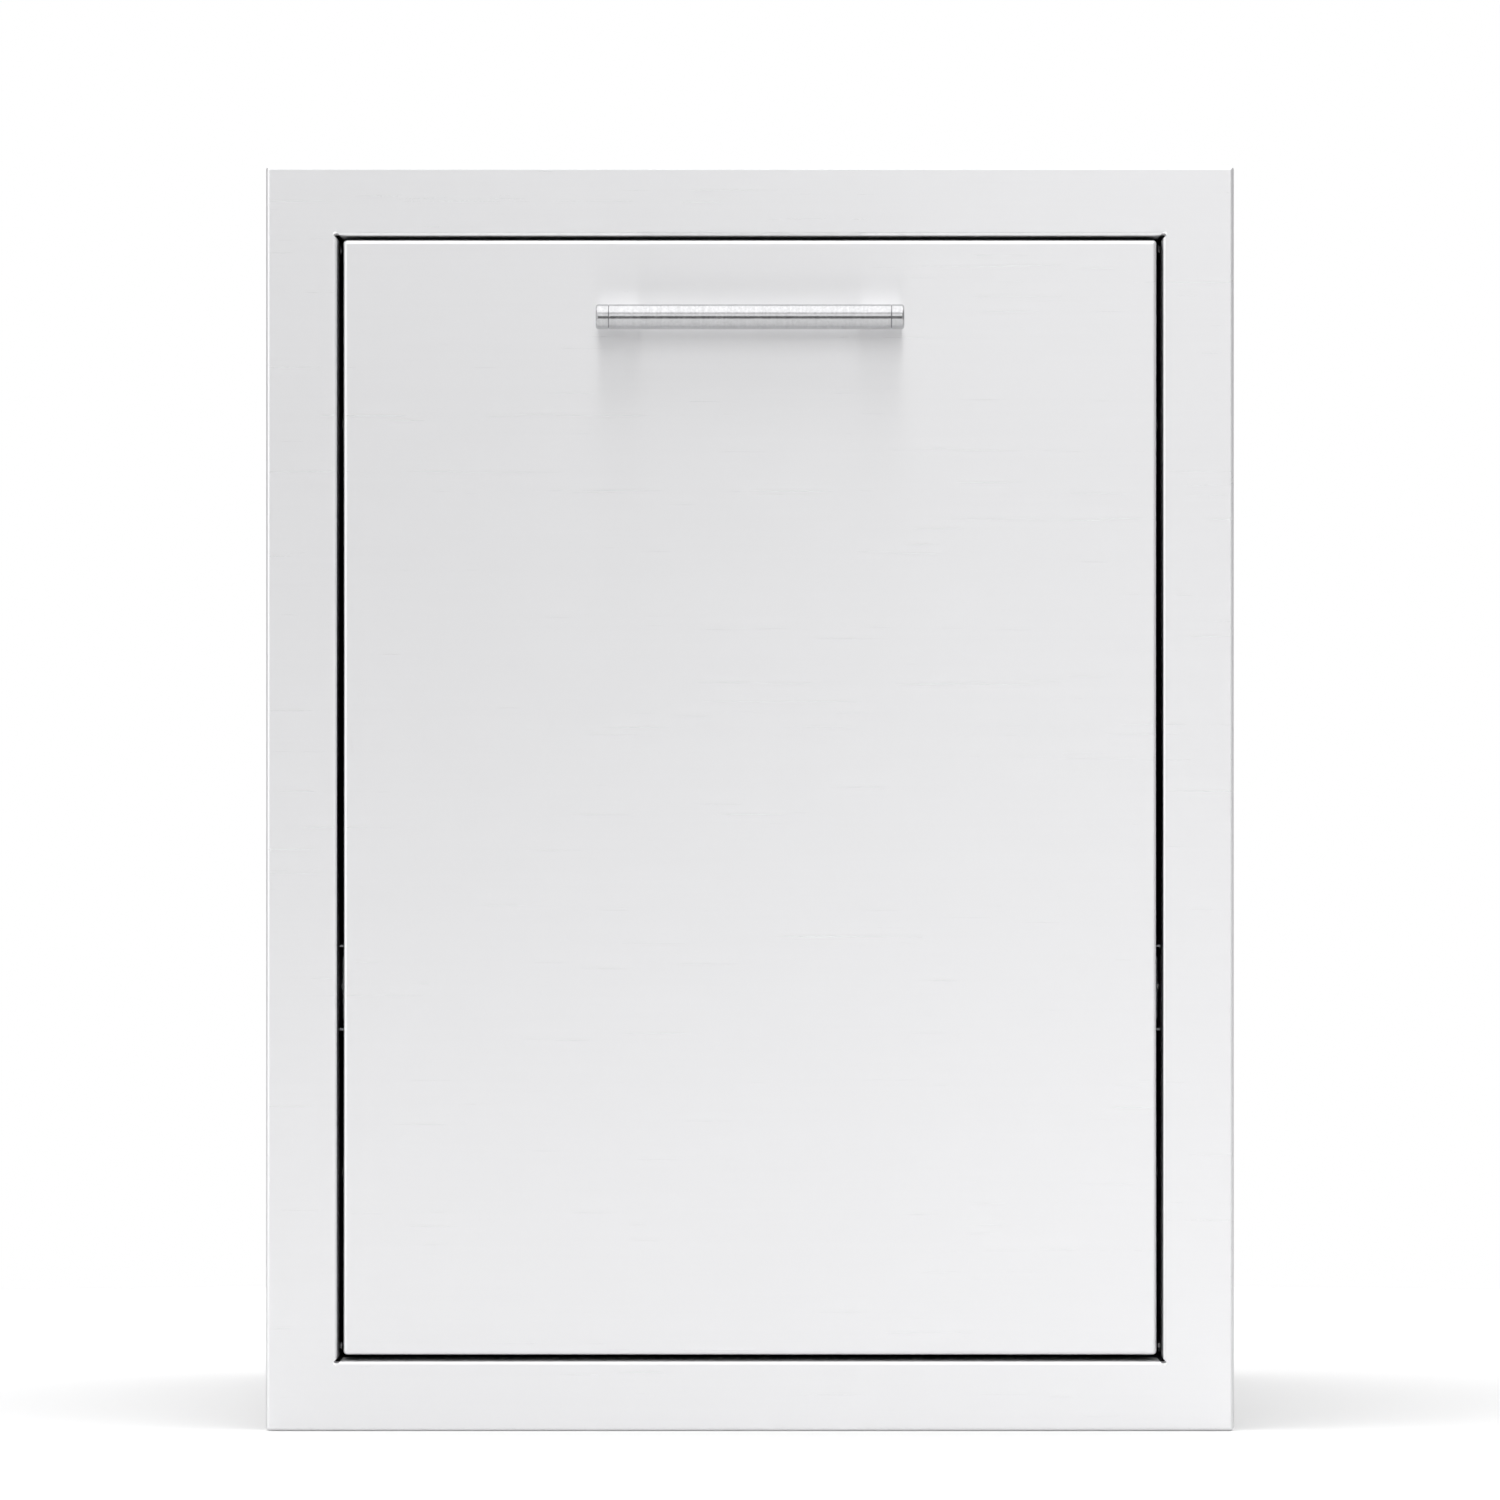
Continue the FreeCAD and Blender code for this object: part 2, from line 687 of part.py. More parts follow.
def make_rail(label, section, end, hole, near, far):
    """One rail of the left slide, drilled through its web from one depth to another."""
    body = new_body(label)
    add_pad(body, "XZ_Plane", "slide_start", end, section_loop(section))
    holes = [(y, "slide_z") for y in rail_screw_y]
    add_cut(body, "YZ_Plane", from_wall(near), from_wall(far), circles=holes, diameter=hole)
    return body


ball_y = [f"cage_start + ({index} + 0.5) * cage_length / {BALL_COUNT}" for index in range(BALL_COUNT)]


def make_cage(label, ball_w, near, far, ball_u):
    """The two flat strips that space one pair of ball rows."""
    body = new_body(label)
    body.AllowCompound = True
    pockets = [(from_wall(ball_u), y) for y in ball_y]
    strip = rectangle(from_wall(near), from_wall(far), "cage_start", "cage_end")
    for sign in (1, -1):
        level = f"slide_z + {sign} * ({ball_w})"
        low, high = f"{level} - cage_gauge / 2", f"{level} + cage_gauge / 2"
        add_pad(body, "XY_Plane", low, high, strip)
        add_cut(body, "XY_Plane", low, high, circles=pockets,
                diameter="ball_diameter + 2 * pocket_clearance")
    return body


def make_balls(label, ball_u, ball_w, side):
    """Every ball of one cage, as separate solids."""
    balls = []
    for y in ball_y:
        for sign in (1, -1):
            centre = FreeCAD.Vector(side * -number(from_wall(ball_u)), number(y),
                                    number("slide_z") + sign * number(ball_w))
            balls.append(Part.makeSphere(number("ball_radius"), centre))
    return make_group(label, balls)


def make_group(label, solids):
    group = doc.addObject("Part::Feature", label)
    group.Shape = Part.makeCompound(solids)
    return group


def make_rail_stop():
    body = new_body("left_rail_stop")
    low, high = "slide_z - stop_height / 2", "slide_z + stop_height / 2"
    block = rectangle(from_wall("rail_gauge"), from_wall("slide_thickness - middle_web"), low, high)
    add_pad(body, "XZ_Plane", "slide_end - stop_length", "slide_end", block)
    add_rounding(body, "stop_rounding", lambda box: level_y(box, "slide_end - stop_length"))
    return body


def make_drawer_side():
    body = new_body("drawer_left_side")
    edge = "box_flange - box_half"
    path = [(edge, "box_top"), ("-(box_half)", "box_top"), ("-(box_half)", "box_bottom"), (edge, "box_bottom")]
    add_pad(body, "XZ_Plane", "front_back", "box_end", folded_strip(path, "panel_gauge", "panel_bend"))
    flange = rectangle("-(box_inner)", "front_flange - box_inner", "box_bottom + panel_gauge",
                       "box_top - panel_gauge")
    add_pad(body, "XZ_Plane", "front_back", "front_back + panel_gauge", flange)
    rivets = [(y, deck_rivet_z) for y in box_rivet_y]
    rivets += [(back_rivet_y, z) for z in box_rivet_z]
    add_cut(body, "YZ_Plane", "-(box_inner)", "-(box_half)", circles=rivets, diameter=rivet_hole)
    screws = [(y, "slide_z") for y in rail_screw_y]
    add_cut(body, "YZ_Plane", "-(box_inner)", "-(box_half)", circles=screws, diameter=screw_hole)
    floors = [(f"-({floor_rivet_x})", y) for y in box_rivet_y]
    add_cut(body, "XY_Plane", "box_bottom + panel_gauge", "box_bottom", circles=floors, diameter=rivet_hole)
    fronts = [("-(flange_screw_x)", z) for z in front_screw_z]
    add_cut(body, "XZ_Plane", "front_back", "front_back + panel_gauge", circles=fronts, diameter=screw_hole)
    return body


def make_drawer_floor():
    """A sheet on the sides' lower flanges, folded up where it meets the drawer front."""
    body = new_body("drawer_floor")
    front = "front_back + panel_gauge"
    low = "box_bottom + panel_gauge"
    path = [(front, f"{low} + box_flange"), (front, low), ("box_end - panel_gauge", low)]
    half = "box_half - panel_bend - sheet_fit"
    add_pad(body, "YZ_Plane", f"-({half})", half, folded_strip(path, "panel_gauge", "panel_bend"))
    rivets = [(f"{side} * ({floor_rivet_x})", y) for side in (-1, 1) for y in box_rivet_y]
    add_cut(body, "XY_Plane", low, f"{low} + panel_gauge", circles=rivets, diameter=rivet_hole)
    return body


def make_drawer_back():
    body = new_body("drawer_back")
    mouth = "box_end - box_flange"
    path = [("box_inner", mouth), ("box_inner", "box_end"), ("-(box_inner)", "box_end"), ("-(box_inner)", mouth)]
    add_pad(body, "XY_Plane", "floor_top", "box_top - panel_bend",
            folded_strip(path, "panel_gauge", "panel_bend"))
    rivets = [(back_rivet_y, z) for z in box_rivet_z]
    add_cut(body, "YZ_Plane", "-(box_inner)", "box_inner", circles=rivets, diameter=rivet_hole)
    return body


def make_bin_deck():
    """The plate that carries both bins: a channel capping the drawer sides, with two openings."""
    body = new_body("bin_deck")
    outer = "box_half + sheet_gauge"
    lip = "deck_top - deck_flange"
    path = [(outer, lip), (outer, "deck_top"), (f"-({outer})", "deck_top"), (f"-({outer})", lip)]
    add_pad(body, "XZ_Plane", "front_back", "box_end", folded_strip(path, "sheet_gauge", "panel_bend"))
    openings = []
    for centre in ("front_bin_y", "rear_bin_y"):
        openings.append(rounded_rectangle("bin_half_x + bin_clearance", "bin_half_y + bin_clearance",
                                          "(bin_corner + bin_clearance)", centre))
    add_cut(body, "XY_Plane", "deck_top", "box_top", *openings)
    rivets = [(y, deck_rivet_z) for y in box_rivet_y]
    add_cut(body, "YZ_Plane", f"-({outer})", outer, circles=rivets, diameter=rivet_hole)
    return body


def add_loft(body, kind, high, high_loop, low, low_loop):
    sections = []
    for level, loop in ((high, high_loop), (low, low_loop)):
        sketch = new_sketch(body, "XY_Plane", level)
        add_loop(sketch, loop)
        sections.append(sketch)
    loft = body.newObject(kind, "loft")
    loft.Profile = sections[0]
    loft.Sections = sections[1:]
    return finish(loft)


def make_bin(label, centre):
    """A tapered moulded bin: a straight collar at the mouth, and a turned-down rim that rests on the deck."""
    body = new_body(label)

    def loop(inset_x, inset_y, radius):
        return rounded_rectangle(inset_x, inset_y, f"({radius})", centre)

    def ring(inset, radius):
        return loop(f"bin_half_x - ({inset})", f"bin_half_y - ({inset})", radius)

    shoulder = "rim_top - collar_height"
    ledge = f"{shoulder} + bin_wall"
    foot = ring("bin_taper", "bin_corner - bin_taper")
    add_loft(body, "PartDesign::AdditiveLoft", shoulder, ring("collar_step", "bin_corner - collar_step"),
             "bin_bottom", foot)
    add_rounding(body, "foot_rounding", lambda box: level_z(box, "bin_bottom"))
    add_pad(body, "XY_Plane", shoulder, "rim_top", ring("0", "bin_corner"))
    skirt = loop("rim_half_x", "rim_depth / 2", "bin_corner + rim_overhang")
    skirt_inside = loop("rim_half_x - rim_gauge", "rim_depth / 2 - rim_gauge",
                        "bin_corner + rim_overhang - rim_gauge")
    add_pad(body, "XY_Plane", "rim_top - rim_gauge", "rim_top", skirt)
    add_pad(body, "XY_Plane", "deck_top", "rim_top - rim_gauge / 2", skirt, skirt_inside)
    add_cut(body, "XY_Plane", "rim_top", ledge, ring("bin_wall", "bin_corner - bin_wall"))
    inner_shoulder = ring("collar_step + bin_wall", "bin_corner - collar_step - bin_wall")
    inner_foot = ring("bin_taper + bin_wall", "bin_corner - bin_taper - bin_wall")
    add_loft(body, "PartDesign::SubtractiveLoft", ledge, inner_shoulder, "bin_bottom + bin_base", inner_foot)
    add_rounding(body, "foot_rounding", lambda box: level_z(box, "bin_bottom + bin_base"))
    add_rounding(body, "ledge_rounding", lambda box: level_z(box, shoulder) or level_z(box, ledge))
    reach = number("rim_depth / 2 - rim_gauge")
    add_rounding(body, "rim_rounding", lambda box: level_z(box, "rim_top")
                 and max(abs(box.XMin), abs(box.XMax), abs(box.YMax - number(centre)),
                         abs(box.YMin - number(centre))) > reach)
    recess = ring("bin_taper + foot_width", "bin_corner - bin_taper - foot_width")
    add_cut(body, "XY_Plane", "bin_bottom", "bin_bottom + foot_recess", recess)
    return body


def turned(profile):
    """A solid of revolution about Z from (radius, height) points."""
    points = [FreeCAD.Vector(radius, 0, height) for radius, height in profile]
    face = Part.Face(Part.makePolygon(points + points[:1]))
    return face.revolve(FreeCAD.Vector(0, 0, 0), FreeCAD.Vector(0, 0, 1), 360)


def rivet_form(grip):
    """A blind rivet standing on z = 0: its bored head above and its set tail below the grip."""
    shank = number("rivet_diameter / 2")
    head = number("rivet_head / 2")
    crown = number("rivet_head_height")
    edge = crown * number("rivet_edge_share")
    bore = number("rivet_bore / 2")
    bore_end = crown - number("rivet_bore_depth")
    tail = number("rivet_tail / 2")
    under = -number(grip)
    end = under - number("rivet_tail_height")
    return turned([(0, bore_end), (bore, bore_end), (bore, crown), (shank, crown), (head, edge), (head, 0),
                   (shank, 0), (shank, under), (tail, under), (tail, end), (0, end)])


def screw_form(diameter, head, head_height, length):
    """A low-headed screw with a cross recess, standing on z = 0, head above."""
    shank = number(diameter) / 2
    rim = number(head) / 2
    crown = rim * number("screw_crown_share")
    top = number(head_height)
    edge = top * number("screw_edge_share")
    end = -number(length)
    screw = turned([(0, top), (crown, top), (rim, edge), (rim, 0), (shank, 0), (shank, end), (0, end)])
    reach = rim * number("recess_reach_share")
    half = rim * number("recess_width_share")
    deep = top * (1 - number("recess_depth_share"))
    for long, wide in ((reach, half), (half, reach)):
        screw = screw.cut(Part.makeBox(2 * long, 2 * wide, top - deep, FreeCAD.Vector(-long, -wide, deep)))
    return screw


def plug_form():
    """A push-in plug standing on z = 0: a low domed head above and a hollow barrel below."""
    rim = number("plug_head / 2")
    crown = rim * number("screw_crown_share")
    top = number("plug_head_height")
    edge = top * number("screw_edge_share")
    barrel = number("plug_hole / 2 - hole_fit")
    hollow = barrel - number("plug_wall")
    end = -number("plug_depth")
    return turned([(0, top), (crown, top), (rim, edge), (rim, 0), (barrel, 0), (barrel, end), (hollow, end),
                   (hollow, 0), (0, 0)])


def nut_form(outside, height, diameter, sides):
    """A nut standing on z = 0, reaching up: six-sided, or round where sides is 0."""
    tall = number(height)
    if sides:
        reach = number(outside) / 2 / math.cos(math.pi / sides)
        corners = [FreeCAD.Vector(reach * math.cos(2 * math.pi * index / sides),
                                  reach * math.sin(2 * math.pi * index / sides), 0) for index in range(sides + 1)]
        blank = Part.Face(Part.makePolygon(corners)).extrude(FreeCAD.Vector(0, 0, tall))
    else:
        blank = Part.makeCylinder(number(outside) / 2, tall)
    return blank.cut(Part.makeCylinder(number(f"({diameter}) / 2 + hole_fit"), tall))


def placed(form, x, y, z, up):
    """A copy of a fastener at a point, with its own Z turned to the given direction."""
    turn = FreeCAD.Rotation(FreeCAD.Vector(0, 0, 1), FreeCAD.Vector(*up))
    copy = form.copy()
    copy.Placement = FreeCAD.Placement(FreeCAD.Vector(number(x), number(y), number(z)), turn)
    return copy


def make_housing_rivets():
    form = rivet_form("2 * panel_gauge")
    rivets = []
    for side in (-1, 1):
        outside = f"{side} * (wall_outer + panel_gauge)"
        for y in shell_rivet_y:
            for up in (-1, 1):
                rivets.append(placed(form, outside, y, f"{up} * (shell_rivet_z)", (side, 0, 0)))
        for z in back_rivet_z:
            rivets.append(placed(form, f"{side} * (wall_outer)", "back_flange_y", z, (side, 0, 0)))
        for x in back_rivet_x:
            rivets.append(placed(form, x, "back_flange_y", f"{side} * (shell_half + panel_gauge)", (0, 0, side)))
    return make_group("housing_rivets", rivets)


def make_drawer_rivets():
    form = rivet_form("2 * panel_gauge")
    deck_form = rivet_form("sheet_gauge + panel_gauge")
    rivets = []
    for side in (-1, 1):
        for y in box_rivet_y:
            rivets.append(placed(deck_form, f"{side} * (box_half + sheet_gauge)", y, deck_rivet_z, (side, 0, 0)))
            rivets.append(placed(form, f"{side} * ({floor_rivet_x})", y, "box_bottom", (0, 0, -1)))
        for z in box_rivet_z:
            rivets.append(placed(form, f"{side} * (box_half)", back_rivet_y, z, (side, 0, 0)))
    return make_group("drawer_rivets", rivets)


def make_rail_fasteners(screw_label, nut_label, seat, grip, outward):
    """Screws through both rails' webs at one seat, and their nuts beyond the grip."""
    length = f"{grip} + nut_height + screw_overhang"
    screw = screw_form("screw_diameter", "screw_head", "screw_head_height", length)
    nut = nut_form("nut_across_flats", "nut_height", "screw_diameter", 6)
    screws = []
    nuts = []
    for side in (-1, 1):
        for y in rail_screw_y:
            screws.append(placed(screw, f"{side} * ({seat})", y, "slide_z", (-side * outward, 0, 0)))
            nut_x = f"{side} * ({seat} + {outward} * ({grip}))"
            nuts.append(placed(nut, nut_x, y, "slide_z", (side * outward, 0, 0)))
    return [make_group(screw_label, screws), make_group(nut_label, nuts)]


def make_front_fasteners():
    """Screws from inside the drawer box into round nuts pressed in the liner."""
    grip = "2 * panel_gauge"
    length = f"{grip} + nut_height + screw_overhang"
    screw = screw_form("screw_diameter", "screw_head", "screw_head_height", length)
    nut = nut_form("clinch_diameter", "nut_height", "screw_diameter", 0)
    screws = []
    nuts = []
    for side in (-1, 1):
        for z in front_screw_z:
            x = f"{side} * (flange_screw_x)"
            screws.append(placed(screw, x, "front_back + panel_gauge", z, (0, 1, 0)))
            nuts.append(placed(nut, x, "front_back - panel_gauge", z, (0, -1, 0)))
    return [make_group("front_screws", screws), make_group("front_clinch_nuts", nuts)]


def make_handle_screws():
    form = screw_form("handle_screw", "handle_screw_head", "handle_screw_head_height",
                      "sheet_gauge + handle_screw_grip - screw_overhang")
    screws = [placed(form, f"{side} * (post_x)", "face_y + sheet_gauge", "bar_z", (0, 1, 0)) for side in (-1, 1)]
    return make_group("handle_screws", screws)


def make_access_plugs():
    """Plugs over the holes through which the handle's screws are driven."""
    form = plug_form()
    plugs = [placed(form, f"{side} * (post_x)", "front_back", "bar_z", (0, 1, 0)) for side in (-1, 1)]
    return make_group("handle_access_plugs", plugs)


def make_housing():
    panel = make_side_panel()
    parts = [make_face_frame(), panel, mirrored("right_side_panel", panel)]
    parts += [make_cover("top_panel", 1), make_cover("bottom_panel", -1), make_back_panel(), make_housing_rivets()]
    return parts


def make_slides():
    """Both slides: the left one is modelled and the right one is its twin."""
    outer = make_rail("left_slide_outer_rail", outer_rail_section(), "slide_end", screw_hole, "0", "rail_gauge")
    middle = make_rail("left_slide_middle_rail", middle_rail_section(), "moving_end", "access_hole",
                       "middle_web", "middle_web + rail_gauge")
    inner = make_rail("left_slide_inner_rail", inner_rail_section(), "moving_end", screw_hole,
                      "slide_thickness - rail_gauge", "slide_thickness")
    outer_cage = make_cage("left_outer_cage", "outer_ball_w", "rail_gauge + cage_clearance",
                           "outer_ball_u + ball_radius - pocket_clearance", "outer_ball_u")
    inner_cage = make_cage("left_inner_cage", "inner_ball_w", "inner_ball_u - ball_radius + pocket_clearance",
                           "slide_thickness - cage_clearance", "inner_ball_u")
    parts = [outer, middle, inner, outer_cage, inner_cage, make_rail_stop()]
    parts += [mirrored(part.Label.replace("left_", "right_"), part) for part in parts]
    for name, side in (("left", -1), ("right", 1)):
        parts.append(make_balls(f"{name}_outer_balls", "outer_ball_u", "outer_ball_w", side))
        parts.append(make_balls(f"{name}_inner_balls", "inner_ball_u", "inner_ball_w", side))
    parts += make_rail_fasteners("outer_rail_screws", "outer_rail_nuts", "wall_inner - rail_gauge",
                                 "rail_gauge + panel_gauge", 1)
    parts += make_rail_fasteners("inner_rail_screws", "inner_rail_nuts", "box_half + rail_gauge",
                                 "rail_gauge + panel_gauge", -1)
    return parts


def make_drawer():
    side = make_drawer_side()
    cap = make_handle_cap()
    post = make_handle_post()
    parts = [make_front_skin(), make_front_liner(), make_handle_bar()]
    parts += [cap, mirrored("handle_cap_right", cap), post, mirrored("handle_post_right", post)]
    parts += [make_handle_screws(), make_access_plugs(), side, mirrored("drawer_right_side", side)]
    parts += [make_drawer_floor(), make_drawer_back(), make_bin_deck(), make_drawer_rivets()]
    parts += make_front_fasteners()
    return parts


parts = make_housing() + make_slides() + make_drawer()
parts += [make_bin("front_bin", "front_bin_y"), make_bin("rear_bin", "rear_bin_y")]
doc.recompute()

for item in doc.Objects:
    if "Invalid" in item.State or "Error" in item.State:
        raise RuntimeError(f"{item.Label} did not build")
for part in parts:
    if part.Shape.isNull() or not part.Shape.isValid():
        raise RuntimeError(f"{part.Label} has no valid shape")

os.makedirs("parts", exist_ok=True)
for part in parts:
    part.Shape.exportStep(f"parts/{part.Label}.step")
    print(part.Label, len(part.Shape.Solids), "solids", round(part.Shape.Volume), "mm3")
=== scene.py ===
import json
import math
import bpy
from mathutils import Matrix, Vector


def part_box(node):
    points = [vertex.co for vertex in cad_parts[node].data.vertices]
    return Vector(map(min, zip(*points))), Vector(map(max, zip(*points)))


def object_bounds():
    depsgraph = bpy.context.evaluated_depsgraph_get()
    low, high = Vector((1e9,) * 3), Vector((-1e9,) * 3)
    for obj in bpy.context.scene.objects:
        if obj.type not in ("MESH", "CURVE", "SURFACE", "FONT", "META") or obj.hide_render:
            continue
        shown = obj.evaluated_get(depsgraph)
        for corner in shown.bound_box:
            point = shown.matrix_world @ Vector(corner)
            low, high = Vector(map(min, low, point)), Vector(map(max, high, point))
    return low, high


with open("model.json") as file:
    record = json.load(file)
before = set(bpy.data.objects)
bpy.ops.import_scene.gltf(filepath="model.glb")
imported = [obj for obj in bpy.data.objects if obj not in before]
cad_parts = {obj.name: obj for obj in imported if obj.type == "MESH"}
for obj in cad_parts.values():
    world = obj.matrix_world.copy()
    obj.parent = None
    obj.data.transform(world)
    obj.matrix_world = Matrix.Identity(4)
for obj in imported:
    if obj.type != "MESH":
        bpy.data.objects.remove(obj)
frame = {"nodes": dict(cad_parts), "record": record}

cad_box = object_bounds()

# Lengths are in metres: X to the right, Y into the island and Z up, with the island's face at y = 0.

# The photograph is a straight front view: its size, and the trim frame's width and middle row in it.
PHOTO_PIXELS = 1500
FRAME_PIXELS = 968
FRAME_MIDDLE_ROW = 798.5
CAMERA_DISTANCE = 6.0
SENSOR_WIDTH = 36.0

FLOOR_RADIUS = 1.62
FLOOR_SIDES = 96
FLOOR_TONE = 0.85

# The studio is a white room. What hangs in it is cards that the camera doesn't see.
# A card's light is given at its left and at its right, and goes over from one to the other in the fade width.
ROOM_WHITE = 1.0
ROOM_LIGHT = 0.35
FADE_WIDTH = 1.0

# Three softboxes make one sail, from low in front to high over the back: each one's (y, z) profile and light.
SOFTBOX_HALF_WIDTH = 3.0
FRONT_JOIN = (-4.0, 2.0)
TOP_JOIN = (-2.6, 2.4)
SOFTBOXES = {
    "front_softbox": ([(-8.0, 0.85), FRONT_JOIN], (1.24, 1.72)),
    "middle_softbox": ([FRONT_JOIN, TOP_JOIN], (1.1, 1.1)),
    "top_softbox": ([TOP_JOIN, (-1.6, 2.7), (5.0, 2.8)], (2.0, 2.0)),
}

# Cards at both sides, which show in the trim frame's folds: each one's x, its ends along y and its light.
SIDE_DISTANCE = 2.0
SIDE_HEIGHTS = (-0.33, 1.8)
LEFT_JOIN = -0.3
BACK_END = 3.0
GREY_LIGHT = (0.5, 0.5)
SIDE_CARDS = {
    "strip_light": (-SIDE_DISTANCE, (-2.2, LEFT_JOIN), (1.3, 1.3)),
    "left_grey_card": (-SIDE_DISTANCE, (LEFT_JOIN, BACK_END), GREY_LIGHT),
    "right_grey_card": (SIDE_DISTANCE, (-4.6, BACK_END), GREY_LIGHT),
}

# A dark card far in front, which shows as the dark line along the handle's bar.
FLAG_HALF_WIDTH = 4.5
FLAG_DISTANCE = 12.0
FLAG_HEIGHTS = (-3.8, 1.15)
FLAG_LIGHT = (0.18, 0.18)

# Tones of the finishes, in linear colour.
STAINLESS = (0.83, 0.83, 0.84)
MILL_STAINLESS = (0.47, 0.47, 0.48)
BAR_STAINLESS = (0.52, 0.52, 0.53)
DULL_ZINC = (0.57, 0.59, 0.62)
PALE_ZINC = (0.65, 0.67, 0.69)
BALL_STEEL = (0.78, 0.78, 0.79)
FASTENER_STEEL = (0.66, 0.66, 0.67)
RUBBER = (0.028, 0.028, 0.030)
POLYMER = (0.052, 0.054, 0.058)

# The finish of each of the record's material slots, and the nodes that have one of their own.
SLOT_FINISH = {
    "brushed_stainless": "panel",
    "satin_bar": "bar",
    "slide_steel": "zinc",
    "bearing_steel": "ball",
    "fastener_steel": "fastener",
    "stop_rubber": "rubber",
    "bin_plastic": "bin",
}
NODE_FINISH = {
    "face_frame": "front",
    "drawer_front_skin": "front",
    "handle_post_left": "post",
    "handle_post_right": "post",
}

# Nearly all of a noise texture's values lie between these.
NOISE_LOW = 0.3
NOISE_HIGH = 0.7

# Sockets of a Mix node by number, because their names repeat.
MIX_SHARE = 0
MIX_FIRST_NUMBER = 2
MIX_SECOND_NUMBER = 3
MIX_FIRST_COLOUR = 6
MIX_SECOND_COLOUR = 7
MIXED_NUMBER = 0
MIXED_COLOUR = 2


def add(tree, kind, inputs=None, **settings):
    """A shader node. An input is a value, or another node's output to link."""
    node = tree.nodes.new(kind)
    for key, value in settings.items():
        setattr(node, key, value)
    for key, value in (inputs or {}).items():
        if isinstance(value, bpy.types.NodeSocket):
            tree.links.new(value, node.inputs[key])
        else:
            node.inputs[key].default_value = value
    return node


def mix(tree, first, second, share):
    """A number between two others, by the second one's share."""
    inputs = {MIX_SHARE: share, MIX_FIRST_NUMBER: first, MIX_SECOND_NUMBER: second}
    return add(tree, "ShaderNodeMix", inputs).outputs[MIXED_NUMBER]


def grey(value):
    return (value, value, value, 1.0)


def place_camera():
    """A straight front view, framed as the photograph is."""
    low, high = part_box("face_frame")
    metres_per_pixel = (high.x - low.x) / FRAME_PIXELS
    view_width = PHOTO_PIXELS * metres_per_pixel
    rise = (FRAME_MIDDLE_ROW - PHOTO_PIXELS / 2) * metres_per_pixel
    data = bpy.data.cameras.new("camera")
    data.sensor_width = SENSOR_WIDTH
    data.lens = SENSOR_WIDTH * CAMERA_DISTANCE / view_width
    camera = bpy.data.objects.new("camera", data)
    camera.location = ((low.x + high.x) / 2, low.y - CAMERA_DISTANCE, (low.z + high.z) / 2 + rise)
    camera.rotation_euler = (math.radians(90), 0, 0)
    bpy.context.collection.objects.link(camera)
    bpy.context.scene.camera = camera


def light_room():
    """White to the camera and in reflections, and a plain level of light on everything else."""
    world = bpy.data.worlds.new("room")
    bpy.context.scene.world = world
    world.use_nodes = True
    tree = world.node_tree
    tree.nodes.clear()
    path = add(tree, "ShaderNodeLightPath")
    seen = path.outputs["Is Camera Ray"]
    for ray in ("Is Glossy Ray", "Is Transmission Ray"):
        seen = add(tree, "ShaderNodeMath", {0: seen, 1: path.outputs[ray]}, operation="MAXIMUM").outputs[0]
    level = mix(tree, ROOM_LIGHT, ROOM_WHITE, seen)
    white = add(tree, "ShaderNodeBackground", {"Color": grey(1.0), "Strength": level})
    output = add(tree, "ShaderNodeOutputWorld")
    tree.links.new(white.outputs[0], output.inputs["Surface"])


def bare_material(name):
    """A material with only an output node, and that node's surface socket."""
    material = bpy.data.materials.new(name)
    material.use_nodes = True
    tree = material.node_tree
    tree.nodes.clear()
    output = add(tree, "ShaderNodeOutputMaterial")
    return material, tree, output.inputs["Surface"]


def add_mesh(name, points, faces, material):
    """A mesh object with one material."""
    mesh = bpy.data.meshes.new(name)
    mesh.from_pydata(points, [], faces)
    mesh.materials.append(material)
    thing = bpy.data.objects.new(name, mesh)
    bpy.context.collection.objects.link(thing)
    return thing


def hang_card(name, first_rail, second_rail, light, reflected_only=False):
    """A glowing card between two rails of (x, y, z) points."""
    left_light, right_light = light
    material, tree, surface = bare_material(name)
    place = add(tree, "ShaderNodeTexCoord").outputs["Object"]
    across = add(tree, "ShaderNodeSeparateXYZ", {"Vector": place}).outputs["X"]
    fade = {"Value": across, "From Min": -FADE_WIDTH / 2, "From Max": FADE_WIDTH / 2,
            "To Min": left_light, "To Max": right_light}
    level = add(tree, "ShaderNodeMapRange", fade, interpolation_type="SMOOTHSTEP").outputs["Result"]
    glow = add(tree, "ShaderNodeEmission", {"Color": grey(1.0), "Strength": level})
    tree.links.new(glow.outputs[0], surface)
    count = len(first_rail)
    faces = [(index, index + 1, count + index + 1, count + index) for index in range(count - 1)]
    card = add_mesh(name, first_rail + second_rail, faces, material)
    card.visible_camera = False
    if reflected_only:
        card.visible_diffuse = False
        card.visible_shadow = False


def light_studio():
    """The room and every card in it."""
    light_room()
    for name, (profile, light) in SOFTBOXES.items():
        left, right = ([(side * SOFTBOX_HALF_WIDTH, y, z) for y, z in profile] for side in (-1, 1))
        hang_card(name, left, right, light)
    for name, (x, ends, light) in SIDE_CARDS.items():
        lower, upper = ([(x, y, z) for y in ends] for z in SIDE_HEIGHTS)
        hang_card(name, lower, upper, light)
    lower, upper = ([(side * FLAG_HALF_WIDTH, -FLAG_DISTANCE, z) for side in (-1, 1)] for z in FLAG_HEIGHTS)
    hang_card("dark_flag", lower, upper, FLAG_LIGHT, reflected_only=True)


